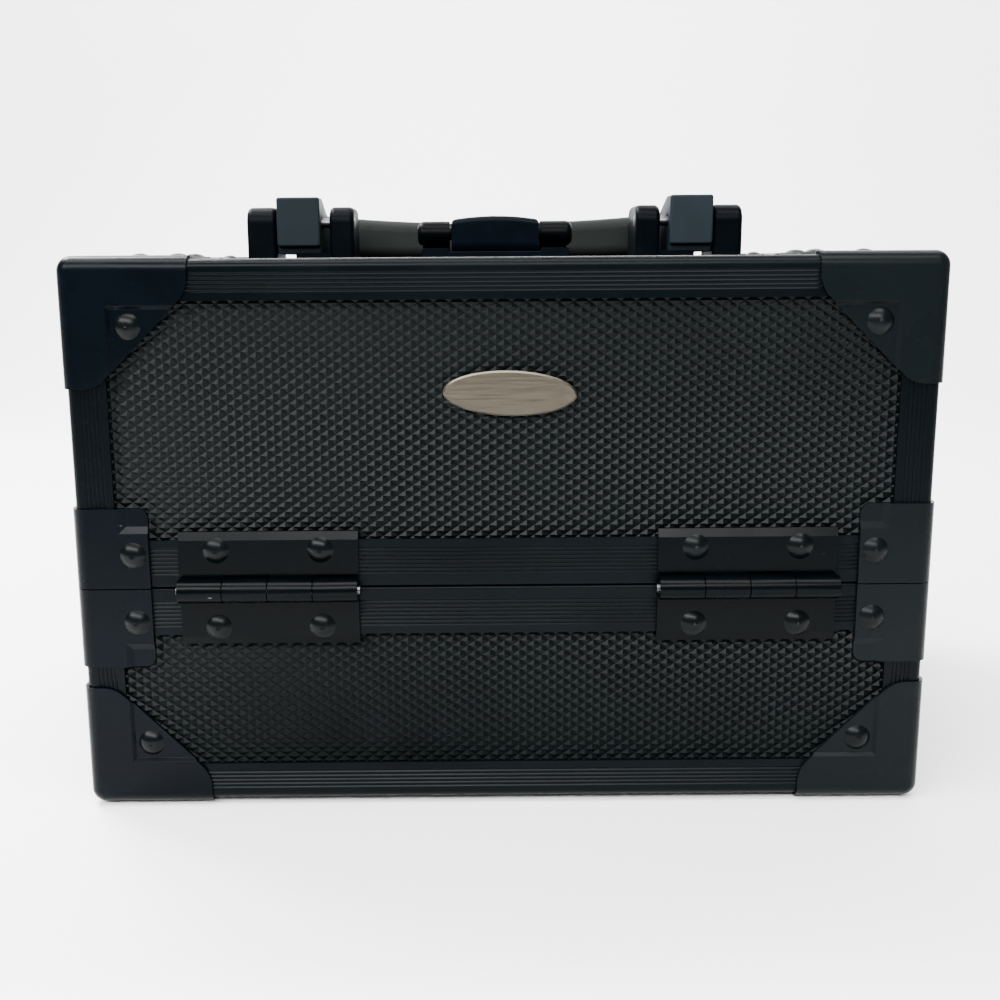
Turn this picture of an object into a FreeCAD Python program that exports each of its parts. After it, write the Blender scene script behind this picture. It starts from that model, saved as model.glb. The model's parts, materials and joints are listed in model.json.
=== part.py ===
"""Two-sided makeup train case: a base box, two half lids that open outwards, and trays that swing with them.

The case's width is along X, its depth along Y and its height along Z. The origin is on the floor, under the
middle of the case. The front is at -Y. Lengths are millimetres and angles are degrees.
"""

import FreeCAD, Part
import math
import os

import Sketcher

Vector = FreeCAD.Vector
Rotation = FreeCAD.Rotation
PARTS_FOLDER = "parts"

# Driving dimensions: name, value, what it is.
DRIVING = [
    ("case_width", 300.0, "outside of the frame, left to right"),
    ("case_depth", 212.0, "outside of the frame, front to rear"),
    ("base_height", 80.0, "base frame, bottom edge to joint line"),
    ("lid_height", 114.0, "lid frame, joint line to top face"),
    ("foot_gap", 2.1, "bottom of the base frame above the floor"),
    ("joint_gap", 0.4, "between base and lids"),
    ("split_gap", 0.5, "between the two half lids"),
    ("rail_face", 14.0, "visible width of an edge rail"),
    ("rim_face", 17.0, "visible width of a rim rail"),
    ("rail_skin", 1.2, "outer leg of every rail, which stands proud of the panels"),
    ("rail_lip", 1.0, "inner leg of every rail"),
    ("lip_inset", 2.0, "inner leg shorter than the outer one"),
    ("rim_web", 3.5, "web that closes a rim rail"),
    ("rail_round", 3.2, "rounding of an edge rail's corner"),
    ("rim_round", 0.8, "rounding of a rim rail's corner"),
    ("ridge_start", 4.5, "first groove from the rail's edge"),
    ("ridge_pitch", 1.45, "groove to groove"),
    ("ridge_width", 0.95, "mouth of a groove"),
    ("ridge_depth", 0.30, "depth of a groove"),
    ("panel_thick", 4.0, "faced board panels"),
    ("lining_thick", 0.8, "lining inside the shells"),
    ("plate_thick", 1.3, "pressed steel of caps and brackets"),
    ("cap_arm", 43.5, "corner cap, reach along each edge"),
    ("cap_cut", 33.0, "corner cap, leg of the sloping side"),
    ("cap_round", 11.0, "corner cap, rounding of its outline"),
    ("cap_step", 15.2, "corner cap, where it steps down to the panel"),
    ("corner_round", 5.2, "outer rounding of caps and brackets"),
    ("corner_bore", 3.0, "inner rounding of caps and brackets"),
    ("cap_step_run", 1.2, "corner cap, length of the step's slope"),
    ("bracket_step_run", 2.4, "bracket, length of the step's slope"),
    ("bracket_arm", 25.5, "bracket, reach along each face"),
    ("bracket_rise", 28.5, "bracket, reach away from the joint"),
    ("bracket_round", 3.5, "bracket, rounding of its outline"),
    ("bracket_step", 19.6, "bracket, step's distance from the joint"),
    ("rivet_width", 9.2, "rivet head across"),
    ("rivet_rise", 2.0, "rivet head height"),
    ("split_rivet", 1.3, "head height of the rivets beside the split"),
    ("foot_flat", 0.6, "how much of a foot rivet's dome is worn flat"),
    ("cap_rivet", 22.3, "cap rivet from both edges"),
    ("bracket_rivet_side", 20.0, "bracket rivet from the case's side"),
    ("bracket_rivet_rise", 12.0, "bracket rivet from the joint"),
    ("split_rivet_rise", 14.8, "split bracket rivet from the split"),
    ("hinge_centre", 84.0, "hinge middle from the case's middle"),
    ("hinge_width", 63.0, "hinge leaf width"),
    ("hinge_shift", 1.3, "how far all the hinges sit to the right of their even places"),
    ("leaf_thick", 1.6, "hinge leaf"),
    ("leaf_start", 4.8, "leaf's near edge from the hinge axis"),
    ("leaf_bend", 17.5, "where the leaf slopes down to the panel"),
    ("leaf_end", 20.4, "leaf's far edge from the hinge axis"),
    ("barrel_radius", 4.25, "hinge knuckles"),
    ("hinge_pin_radius", 1.5, "hinge pin"),
    ("running_gap", 0.05, "radial clearance of a pin in a moving bore"),
    ("knuckle_gap", 0.3, "between two knuckles"),
    ("hinge_rivet_side", 18.3, "hinge rivet from the hinge's middle"),
    ("hinge_rivet_rise", 13.9, "hinge rivet from the axis"),
    ("badge_width", 46.0, "oval badge, long way"),
    ("badge_height", 15.6, "oval badge, short way"),
    ("badge_thick", 1.4, "oval badge"),
    ("badge_level", 68.0, "badge middle above the joint"),
    ("handle_post_outer", 108.6, "handle bracket, outer side"),
    ("handle_post_inner", 61.7, "handle bracket, inner side"),
    ("post_gap", 0.5, "handle arm to the outer post"),
    ("post_inner_width", 10.8, "inner post"),
    ("post_radius", 6.9, "round shoulders of a post, and its front and top from the pin"),
    ("post_rear", 22.0, "post's rear face behind the pin"),
    ("post_edge", 2.2, "rounding of a post's rims"),
    ("bracket_base", 1.5, "handle bracket base plate"),
    ("bracket_foot", 14.4, "raised foot beside the inner post"),
    ("bracket_foot_run", 2.2, "raised foot, front to rear"),
    ("bracket_foot_rise", 2.6, "raised foot above the lid's top face"),
    ("bracket_front", 20.0, "bracket plate's front edge, from the split"),
    ("bracket_rear", 54.0, "bracket plate's rear edge, from the split"),
    ("handle_pivot_y", 30.0, "handle pin behind the split"),
    ("handle_pivot_rise", 15.4, "handle pin above the lid's top face"),
    ("handle_pin_radius", 2.2, "handle pin"),
    ("arm_outer", 95.1, "handle arm's outer side"),
    ("arm_inner", 76.3, "handle arm's inner side"),
    ("butt_front", 9.0, "handle butt ahead of its pin"),
    ("butt_below", 10.1, "handle butt under its pin"),
    ("butt_above", 10.9, "handle butt over its pin"),
    ("butt_floor", 2.0, "underside of the butt, front to rear"),
    ("butt_roof", 12.0, "top of the butt, front to rear"),
    ("butt_slope", 33.0, "end of the slope behind the butt, from its front"),
    ("arm_below", 13.4, "handle arm under the pin's level"),
    ("arm_above", 4.2, "handle arm over the pin's level"),
    ("grip_below", 15.1, "grip's underside under the pin's level"),
    ("grip_near", 36.0, "grip's near side from the pin"),
    ("grip_far", 55.0, "grip's far side from the pin"),
    ("grip_core", 4.2, "half thickness of the bar inside the grip"),
    ("core_lower", 0.8, "bar below the middle of the grip"),
    ("butt_edge", 1.0, "rounding of the butt's front"),
    ("grip_round", 5.0, "rounding of the grip"),
    ("grip_waist", 3.6, "how much lower the grip's middle is"),
    ("latch_half", 28.6, "latch base plate, half width"),
    ("latch_front", 39.0, "latch base plate's front edge, ahead of the split"),
    ("latch_rear", 21.0, "latch base plate's rear edge, ahead of the split"),
    ("latch_pad", 3.5, "latch base plate's top above the lid's top face"),
    ("latch_web", 1.2, "bridge of the base plate under the lever"),
    ("latch_shift", 1.3, "how far the latch sits to the left of the middle"),
    ("latch_lip", 1.1, "thickness of the lip in front of the lever"),
    ("latch_lip_rise", 2.3, "lip's top above the top face"),
    ("barrel_y", 29.5, "latch barrel's axis ahead of the split"),
    ("barrel_rise", 9.15, "latch barrel's axis above the top face"),
    ("barrel_end", 4.85, "radius of the latch barrel's ends"),
    ("barrel_half", 30.4, "latch barrel, half length"),
    ("barrel_shaft", 2.5, "radius of the latch barrel under the lever"),
    ("barrel_tip", 2.6, "rounding of the barrel's ends"),
    ("lever_half", 17.0, "latch lever, half width"),
    ("lever_gap", 0.8, "lever to the barrel's ends"),
    ("lever_front", 37.6, "lever's front face, ahead of the split"),
    ("lever_crown", 15.8, "lever's highest point"),
    ("lever_belly", 0.6, "lever's lowest point, above the top face"),
    ("lever_heel", 5.0, "rounding under the lever's front"),
    ("lever_arch", 1.4, "how much the lever's top curves down to its sides"),
    ("lever_edge", 2.0, "rounding of the lever's top edges"),
    ("lever_crown_run", 22.0, "lever's top, front to where it slopes down"),
    ("lever_nose_drop", 3.0, "lever's nose below its top"),
    ("lever_under", 8.4, "underside of the nose above the belly"),
    ("lever_clear", 1.6, "lever's underside above its belly, behind the barrel"),
    ("lever_belly_run", 11.6, "length of the belly"),
    ("lever_nose", 6.5, "lever's nose behind the split"),
    ("catch_y", 7.0, "catch's front face behind the split"),
    ("catch_rise", 12.6, "catch's top"),
    ("catch_half", 14.0, "catch, half width"),
    ("catch_thick", 2.4, "catch's upright"),
    ("catch_plate", 1.6, "catch's base plate"),
    ("catch_depth", 13.0, "catch's base plate, front to rear"),
    ("catch_round", 3.0, "rounding of the catch's top"),
    ("tray_half", 138.0, "tray, half length"),
    ("tray_near", 6.0, "tray's inner side from the split"),
    ("tray_far", 90.5, "tray's outer side from the split"),
    ("tray_wall", 1.8, "tray wall"),
    ("tray_corner", 4.0, "tray corner rounding"),
    ("low_tray_level", 16.0, "lower tray above the joint"),
    ("low_tray_height", 24.0, "lower tray"),
    ("top_tray_level", 44.0, "upper tray above the joint"),
    ("top_tray_height", 40.0, "upper tray"),
    ("swing_y", 50.0, "hinge axis to upper tray's lid pivot, inwards"),
    ("swing_z", 56.0, "hinge axis to upper tray's lid pivot, upwards"),
    ("link_y", 38.0, "hinge axis to arm pivot, inwards"),
    ("link_z", 8.0, "hinge axis to arm pivot, downwards"),
    ("arm_plane", 139.0, "inner face of the tray arms"),
    ("arm_thick", 1.5, "tray arms"),
    ("arm_half", 4.6, "tray arms, half width"),
    ("stud_radius", 2.0, "tray studs and arm pivots"),
    ("stud_head", 3.6, "heads of studs and pivots"),
    ("stud_cap", 0.8, "thickness of those heads"),
    ("hanger_thick", 1.3, "tray hanger plates"),
    ("hanger_radius", 7.0, "tray hanger plates"),
    ("hanger_gap", 0.35, "clearance of a lid-side tray stud in its hanger"),
]
EDGE_RIDGES = 5
RIM_RIDGES = 7
KNUCKLES = 4
TRAY_BAYS = 3
BADGE_TILT = 1.7

doc = FreeCAD.newDocument("train_case")


class Size:
    """A length that knows both its value and the sheet expression that gives it."""

    def __init__(self, value, text):
        self.value = value
        self.text = text

    def __add__(self, other):
        other = sized(other)
        return Size(self.value + other.value, f"({self.text} + {other.text})")

    def __sub__(self, other):
        other = sized(other)
        return Size(self.value - other.value, f"({self.text} - {other.text})")

    def __mul__(self, other):
        other = sized(other)
        return Size(self.value * other.value, f"({self.text} * {other.text})")

    def __truediv__(self, other):
        other = sized(other)
        return Size(self.value / other.value, f"({self.text} / {other.text})")

    def __neg__(self):
        return Size(-self.value, f"(0 - {self.text})")

    def __radd__(self, other):
        return sized(other) + self

    def __rsub__(self, other):
        return sized(other) - self

    def __rmul__(self, other):
        return sized(other) * self


def sized(number):
    return number if isinstance(number, Size) else Size(float(number), repr(float(number)))


def make_sheet():
    """Writes the driving dimensions and returns them as sizes, by name."""
    sheet = doc.addObject("Spreadsheet::Sheet", "Sizes")
    for row, (name, value, note) in enumerate(DRIVING, start=1):
        sheet.set(f"A{row}", name)
        sheet.set(f"B{row}", str(value))
        sheet.set(f"C{row}", note)
        sheet.setAlias(f"B{row}", name)
    doc.recompute()
    return {name: Size(float(getattr(sheet, name)), f"Sizes.{name}") for name, value, note in DRIVING}


D = make_sheet()
ZERO = sized(0)

# Levels and faces that many pieces share.
SIDE = D["case_width"] / 2
FRONT = D["case_depth"] / 2
FLOOR = D["foot_gap"]
JOINT = FLOOR + D["base_height"]
TOP = JOINT + D["lid_height"]
BASE_RIM = JOINT - D["joint_gap"] / 2
LID_RIM = JOINT + D["joint_gap"] / 2
SPLIT = D["split_gap"] / 2
WALL = D["rail_skin"] + D["panel_thick"]
SHELL = WALL + D["rail_lip"]
INSIDE = SHELL + D["lining_thick"]
HINGE_OUT = D["barrel_radius"]
STEP_DROP = D["rail_skin"]

nodes = {}


def keep(node, item):
    """Marks an object as the finished sub-part of that name."""
    item.Label = node
    nodes[node] = item
    return item


def bind(item, **sizes):
    for name, size in sizes.items():
        item.setExpression(name, sized(size).text)


def place(item, x, y, z, rotation=None):
    """Puts an object at a point whose coordinates stay bound to the sheet."""
    point = [sized(size) for size in (x, y, z)]
    item.Placement = FreeCAD.Placement(Vector(*(size.value for size in point)), rotation or Rotation())
    for axis, size in zip("xyz", point):
        item.setExpression(f".Placement.Base.{axis}", size.text)
    return item


def box(name, x, y, z):
    """A block between two bounds on each axis."""
    item = doc.addObject("Part::Box", name)
    bounds = [(sized(low), sized(high)) for low, high in (x, y, z)]
    (x0, x1), (y0, y1), (z0, z1) = bounds
    bind(item, Length=x1 - x0, Width=y1 - y0, Height=z1 - z0)
    return place(item, x0, y0, z0)


def rod(name, radius, start, axis, length):
    """A cylinder from a point along a direction."""
    item = doc.addObject("Part::Cylinder", name)
    bind(item, Radius=radius, Height=length)
    return place(item, *start, Rotation(Vector(0, 0, 1), Vector(*axis)))


def combine(kind, name, items):
    item = doc.addObject(kind, name)
    item.Shapes = items
    return item


def fuse(name, *items):
    return combine("Part::MultiFuse", name, list(items))


def common(name, *items):
    return combine("Part::MultiCommon", name, list(items))


def group(name, *items):
    """Several separate solids that share one node."""
    item = doc.addObject("Part::Compound", name)
    item.Links = list(items)
    return item


def cut(name, base, *tools):
    item = doc.addObject("Part::Cut", name)
    item.Base = base
    item.Tool = tools[0] if len(tools) == 1 else group(f"{name}_tools", *tools)
    return item


def link(name, item, x, y, z, rotation=None):
    """Another copy of an object, with a place of its own."""
    copy = doc.addObject("App::Link", f"{name}_link")
    copy.LinkedObject = item
    return group(name, place(copy, x, y, z, rotation))


def mirror(item, axis, name=None):
    """The mirror image in the plane through the case's middle that faces that axis."""
    image = doc.addObject("Part::Mirroring", name or f"{item.Name}_mirror_{axis}")
    image.Source = item
    image.Normal = Vector(*(float(axis == a) for a in "xyz"))
    return image


def sides(item):
    """An object and its image on the other side of the case."""
    return [item, mirror(item, "x")]


def corners(item):
    """An object and its images at the other three corners."""
    pair = sides(item)
    return pair + [mirror(one, "y") for one in pair]


def rounded(name, base, radius, *middles):
    """Rounds the edges whose middles are nearest to the given points."""
    doc.recompute()
    wanted = []
    for middle in middles:
        point = Vector(*(sized(size).value for size in middle))
        distances = [edge.CenterOfMass.distanceToPoint(point) for edge in base.Shape.Edges]
        wanted.append(distances.index(min(distances)) + 1)
    item = doc.addObject("Part::Fillet", name)
    item.Base = base
    item.Edges = [(number, sized(radius).value, sized(radius).value) for number in wanted]
    return item


def outline(name, points, corner=None):
    """A closed sketch through points whose coordinates are bound to the sheet.

    With a corner radius, the outline is closed by a round corner at the origin.
    """
    sketch = doc.addObject("Sketcher::SketchObject", name)
    points = [(sized(u), sized(v)) for u, v in points]
    flat = [Vector(u.value, v.value, 0) for u, v in points]
    last = len(points) - 1
    for start, end in zip(flat, flat[1:]):
        sketch.addGeometry(Part.LineSegment(start, end))
    if corner is None:
        sketch.addGeometry(Part.LineSegment(flat[-1], flat[0]))
    else:
        centre = Vector(corner.value, corner.value, 0)
        circle = Part.Circle(centre, Vector(0, 0, 1), corner.value)
        sketch.addGeometry(Part.ArcOfCircle(circle, math.pi, 1.5 * math.pi))
        bound(sketch, Sketcher.Constraint("Radius", last, corner.value), corner)
    for number in range(last):
        sketch.addConstraint(Sketcher.Constraint("Coincident", number, 2, number + 1, 1))
    sketch.addConstraint(Sketcher.Constraint("Coincident", last, 2, 0, 1))
    for number, (u, v) in enumerate(points):
        line, end = (number, 1) if number < last else (number - 1, 2)
        for kind, axis, size in (("DistanceX", -2, u), ("DistanceY", -1, v)):
            if size.value == 0:
                sketch.addConstraint(Sketcher.Constraint("PointOnObject", line, end, axis))
            else:
                bound(sketch, Sketcher.Constraint(kind, -1, 1, line, end, size.value), size)
    return sketch


def bound(sketch, constraint, size):
    number = sketch.addConstraint(constraint)
    sketch.setExpression(f"Constraints[{number}]", size.text)


def turned(u, v):
    """The rotation that takes a sketch's first axis to u and its second to v."""
    u, v = Vector(*u), Vector(*v)
    return Rotation(u, v, u.cross(v), "XYZ")


def extrude(name, sketch, length, start, u, v):
    """Pulls a sketch along u x v, with its first axis along u and its second along v."""
    item = doc.addObject("Part::Extrusion", name)
    item.Base = sketch
    item.DirMode = "Custom"
    item.Dir = Vector(0, 0, 1)
    item.Solid = True
    bind(item, LengthFwd=length)
    return place(item, *start, turned(u, v))


# ---------------------------------------------------------------- frame rails


def ridged(count, along=0):
    """Groove points along a rail's face. along is 0 for the first leg and 1 for the second."""
    points = []
    for number in range(count):
        near = D["ridge_start"] + number * D["ridge_pitch"]
        for step, depth in ((0, ZERO), (0.5, D["ridge_depth"]), (1, ZERO)):
            point = (near + step * D["ridge_width"], depth)
            points.append(point if along == 0 else point[::-1])
    return points


def edge_profile():
    """An L rail: two grooved faces, and on each leg a slot for a panel's edge."""
    tip = D["rail_face"] - D["lip_inset"]
    leg = [
        (D["rail_round"], ZERO),
        *ridged(EDGE_RIDGES),
        (D["rail_face"], ZERO),
        (D["rail_face"], D["rail_skin"]),
        (SHELL, D["rail_skin"]),
        (SHELL, WALL),
        (tip, WALL),
        (tip, SHELL),
        (SHELL, SHELL),
    ]
    other = [(v, u) for u, v in reversed(leg[:-1])]
    return outline("edge_profile", leg + other, corner=D["rail_round"])


def rim_profile(name, face, count):
    """A rail that closes a panel's edge: a grooved face, a web and an inner lip."""
    tip = face - D["rim_web"]
    points = [
        (D["rim_round"], ZERO),
        *ridged(count),
        (face, ZERO),
        (face, D["rail_skin"]),
        (D["rim_web"], D["rail_skin"]),
        (D["rim_web"], WALL),
        (tip, WALL),
        (tip, SHELL),
        (ZERO, SHELL),
        (ZERO, D["rim_round"]),
    ]
    return outline(name, points, corner=D["rim_round"])


EDGE = edge_profile()
RIM = rim_profile("rim_profile", D["rim_face"], RIM_RIDGES)
SPLIT_EDGE = rim_profile("split_profile", D["rail_face"], EDGE_RIDGES)
RIGHT, BACK, UP = (1, 0, 0), (0, 1, 0), (0, 0, 1)
LEFT, AHEAD, DOWN = (-1, 0, 0), (0, -1, 0), (0, 0, -1)
LONG = D["case_width"] - 2 * D["rail_round"]


def base_rails():
    start = -(SIDE - D["rail_round"])
    front = extrude("base_bottom_front", EDGE, LONG, (start, -FRONT, FLOOR), BACK, UP)
    run = D["case_depth"] - 2 * D["rail_face"]
    side = extrude("base_bottom_side", EDGE, run, (-SIDE, -(run / 2), FLOOR), UP, RIGHT)
    bottom = group("bottom_rails", front, mirror(front, "y"), *sides(side))
    keep("base_bottom_rails", bottom)

    low = FLOOR + D["rail_face"]
    stile = extrude("base_stile", EDGE, BASE_RIM - D["rim_face"] - low, (-SIDE, -FRONT, low), RIGHT, BACK)
    keep("base_corner_stiles", group("stiles", *corners(stile)))

    front = extrude("base_rim_front", RIM, LONG, (start, -FRONT, BASE_RIM), DOWN, BACK)
    run = D["case_depth"] - 2 * SHELL
    side = extrude("base_rim_side", RIM, run, (-SIDE, run / 2, BASE_RIM), DOWN, RIGHT)
    rim = group("rim_rails", front, mirror(front, "y"), *sides(side))
    keep("base_rim_rails", rim)


def lid_rails():
    """The front half lid's frame. Its image is the rear one's."""
    start = -(SIDE - D["rail_round"])
    front = extrude("lid_top_front", EDGE, LONG, (start, -FRONT, TOP), DOWN, BACK)
    near = -(FRONT - D["rail_face"])
    side = extrude("lid_top_side", EDGE, -SPLIT - near, (-SIDE, near, TOP), RIGHT, DOWN)
    low = LID_RIM + D["rim_face"]
    high = TOP - D["rail_face"]
    stile = extrude("lid_stile", EDGE, high - low, (-SIDE, -FRONT, low), RIGHT, BACK)
    edges = group("lid_edges", front, *sides(side), *sides(stile))

    front = extrude("lid_rim_front", RIM, LONG, (-start, -FRONT, LID_RIM), UP, BACK)
    near = -(FRONT - SHELL)
    side = extrude("lid_rim_side", RIM, -SPLIT - near, (-SIDE, near, LID_RIM), UP, RIGHT)
    rims = group("lid_rims", front, *sides(side))

    inset = SIDE - D["rail_face"]
    top = extrude("lid_split_top", SPLIT_EDGE, 2 * inset, (-inset, -SPLIT, TOP), AHEAD, DOWN)
    side = extrude("lid_split_side", SPLIT_EDGE, high - low, (-SIDE, -SPLIT, low), AHEAD, RIGHT)
    splits = group("lid_splits", top, *sides(side))
    return {"edge_rails": edges, "rim_rails": rims, "split_rails": splits}


# ---------------------------------------------------------------- panels and linings


def base_panels():
    long = SIDE - SHELL
    deep = FRONT - SHELL
    height = (FLOOR + SHELL, BASE_RIM - D["rim_web"])
    face = (-(FRONT - D["rail_skin"]), -(FRONT - WALL))
    side = (-(SIDE - D["rail_skin"]), -(SIDE - WALL))
    front = box("front_panel", (-long, long), face, height)
    keep("base_front_panel", front)
    keep("base_rear_panel", mirror(front, "y"))
    left = box("left_panel", side, (-deep, deep), height)
    keep("base_left_panel", left)
    keep("base_right_panel", mirror(left, "x"))
    bottom = (FLOOR + D["rail_skin"], FLOOR + WALL)
    keep("base_bottom_panel", box("bottom_panel", (-long, long), (-deep, deep), bottom))

    outer = box("lining_outer", (-long, long), (-deep, deep), (FLOOR + SHELL, BASE_RIM - D["rim_web"]))
    long = SIDE - INSIDE
    deep = FRONT - INSIDE
    inner = box("lining_inner", (-long, long), (-deep, deep), (FLOOR + INSIDE, BASE_RIM))
    keep("base_lining", cut("base_lining_cut", outer, inner))


def lid_panels():
    long = SIDE - SHELL
    near = -(FRONT - SHELL)
    far = -SPLIT - D["rim_web"]
    height = (LID_RIM + D["rim_web"], TOP - SHELL)
    face = (-(FRONT - D["rail_skin"]), -(FRONT - WALL))
    side = (-(SIDE - D["rail_skin"]), -(SIDE - WALL))
    left = box("lid_left_panel", side, (near, far), height)
    outer = box("lid_lining_outer", (-long, long), (near, far), height)
    inner_long = SIDE - INSIDE
    top = TOP - INSIDE
    inner = box("lid_lining_inner", (-inner_long, inner_long), (-(FRONT - INSIDE), ZERO), (LID_RIM, top))
    return {
        "face_panel": box("lid_face_panel", (-long, long), face, height),
        "top_panel": box("lid_top_panel", (-long, long), (near, far), (TOP - WALL, TOP - D["rail_skin"])),
        "side_panels": group("lid_side_panels", *sides(left)),
        "lining": cut("lid_lining", outer, inner),
    }


# ---------------------------------------------------------------- corner caps and brackets


def step_wedge(name, first, second, run, reach, lift):
    """The sunken field on one face of a cap: two sides slope, and its floor is one rail skin down."""
    item = doc.addObject("Part::Wedge", name)
    bind(item, Xmin=first, Zmin=second, X2min=first + run, Z2min=second + run)
    bind(item, Xmax=reach, Zmax=reach, X2max=reach, Z2max=reach)
    bind(item, Ymin=ZERO, Ymax=STEP_DROP)
    return place(item, ZERO, lift, ZERO)


# The two turns that take a corner's first face to its others.
TO_UNDER = Rotation(Vector(0, 1, 0), Vector(0, 0, 1), Vector(1, 0, 0))
TO_SIDE = Rotation(Vector(0, 0, 1), Vector(1, 0, 0), Vector(0, 1, 0))


def faced(name, item, face):
    """The same field on another face of a corner at the origin."""
    if face == "under":
        return link(name, group(f"{name}_source", item), ZERO, ZERO, ZERO, TO_UNDER)
    image = doc.addObject("Part::Mirroring", name)
    image.Source = item
    image.Normal = Vector(1, -1, 0)
    return image


def pressed_corner(name, reach, height, step, outlines, faces):
    """A pressed corner around the origin. Its metal lies outside the planes x=0, y=0 and, for a cap, z=0."""
    thick = D["plate_thick"]
    below = -thick if "under" in faces else ZERO
    outer = box(f"{name}_outer", (-thick, reach), (-thick, reach), (below, height))
    inner_low = ZERO if "under" in faces else sized(-1)
    inner = box(f"{name}_inner", (ZERO, reach + 1), (ZERO, reach + 1), (inner_low, height + 1))
    middle = height / 2
    edges = [(-thick, -thick, (height + below) / 2)]
    bores = [(ZERO, ZERO, middle)]
    if "under" in faces:
        along = (reach - thick) / 2
        edges += [(along, -thick, -thick), (-thick, along, -thick)]
        bores += [((reach + 1) / 2, ZERO, ZERO), (ZERO, (reach + 1) / 2, ZERO)]
    outer = rounded(f"{name}_outer_round", outer, D["corner_round"], *edges)
    inner = rounded(f"{name}_inner_round", inner, D["corner_bore"], *bores)

    first, second, run = step
    fields, floors = [], []
    for face in faces:
        field = step_wedge(f"{name}_field_{face}", first + 0.2, second + 0.2, run, reach * 2, -thick)
        floor = step_wedge(f"{name}_floor_{face}", first, second, run, reach * 2, ZERO)
        if face != "front":
            field = faced(f"{name}_{face}_field", field, face)
            floor = faced(f"{name}_{face}_floor", floor, face)
        fields.append(field)
        floors.append(floor)
    cavity = cut(f"{name}_cavity", inner, *floors)
    shell = cut(f"{name}_shell", outer, *fields, cavity)
    return common(name, shell, *outlines)


def cap_outline():
    """A square plate with one corner cut off and the two new corners rounded."""
    arm, slope = D["cap_arm"], D["cap_cut"]
    low = -2 * D["plate_thick"]
    plate = box("cap_plate", (low, arm), (low, arm + 1), (low, arm))
    wedge = outline("cap_wedge", [(ZERO, ZERO), (slope, ZERO), (ZERO, slope)])
    wedge = extrude("cap_wedge_cut", wedge, arm * 2, (arm, arm * 1.5, arm), LEFT, DOWN)
    plate = cut("cap_plate_cut", plate, wedge)
    middle = (arm + 1 + low) / 2
    return rounded(
        "cap_outline", plate, D["cap_round"], (arm, middle, arm - slope), (arm - slope, middle, arm)
    )


def corner_cap():
    """A ball corner: three lobed faces around one rounded corner at the origin."""
    front = cap_outline()
    third = link("cap_outline_third", front, ZERO, ZERO, ZERO, TO_UNDER)
    second = link("cap_outline_second", front, ZERO, ZERO, ZERO, TO_SIDE)
    step = (D["cap_step"], D["cap_step"], D["cap_step_run"])
    return pressed_corner(
        "corner_cap", D["cap_arm"], D["cap_arm"], step, [front, second, third], ("front", "side", "under")
    )


def rim_bracket(name):
    """A two-faced corner plate that stands on the plane z=0."""
    arm, rise = D["bracket_arm"], D["bracket_rise"]
    low = -2 * D["plate_thick"]
    plate = box(f"{name}_plate", (low, arm), (low, arm + 1), (sized(-1), rise))
    front = rounded(f"{name}_outline", plate, D["bracket_round"], (arm, (arm + 1 + low) / 2, rise))
    side = faced(f"{name}_outline_side", front, "side")
    step = (D["cap_step"], D["bracket_step"], D["bracket_step_run"])
    return pressed_corner(name, arm, rise, step, [front, side], ("front", "side"))


def hardware():
    """Caps and brackets for the base, and for one half lid."""
    cap = corner_cap()
    bracket = rim_bracket("rim_bracket")
    base_cap = link("base_cap", cap, -SIDE, -FRONT, FLOOR)
    keep("base_corner_caps", group("base_caps", *corners(base_cap)))
    base_bracket = link("base_bracket", bracket, -SIDE, -FRONT, BASE_RIM, turned(BACK, RIGHT))
    keep("base_rim_brackets", group("base_brackets", *corners(base_bracket)))
    lid_cap = link("lid_cap", cap, -SIDE, -FRONT, TOP, turned(BACK, RIGHT))
    lid_bracket = link("lid_bracket", bracket, -SIDE, -FRONT, LID_RIM)
    split_bracket = link("split_bracket", bracket, -SIDE, -SPLIT, TOP, turned(DOWN, RIGHT))
    return {
        "corner_caps": group("lid_caps", *sides(lid_cap)),
        "rim_brackets": group("lid_brackets", *sides(lid_bracket)),
        "split_brackets": group("split_brackets", *sides(split_bracket)),
    }


# ---------------------------------------------------------------- rivets


def rivet(name, x, y, z, out, rise=D["rivet_rise"]):
    """A domed rivet head that stands on a face, pointing out of it."""
    width = D["rivet_width"]
    ball = (width * width / 4 + rise * rise) / (2 * rise)
    head = doc.addObject("Part::Sphere", name)
    bind(head, Radius=ball)
    head.Angle1 = math.degrees(math.asin((ball.value - rise.value) / ball.value))
    back = [sized(place_on) - (ball - rise) * part for place_on, part in zip((x, y, z), out)]
    return place(head, *back, Rotation(Vector(0, 0, 1), Vector(*out)))


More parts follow.
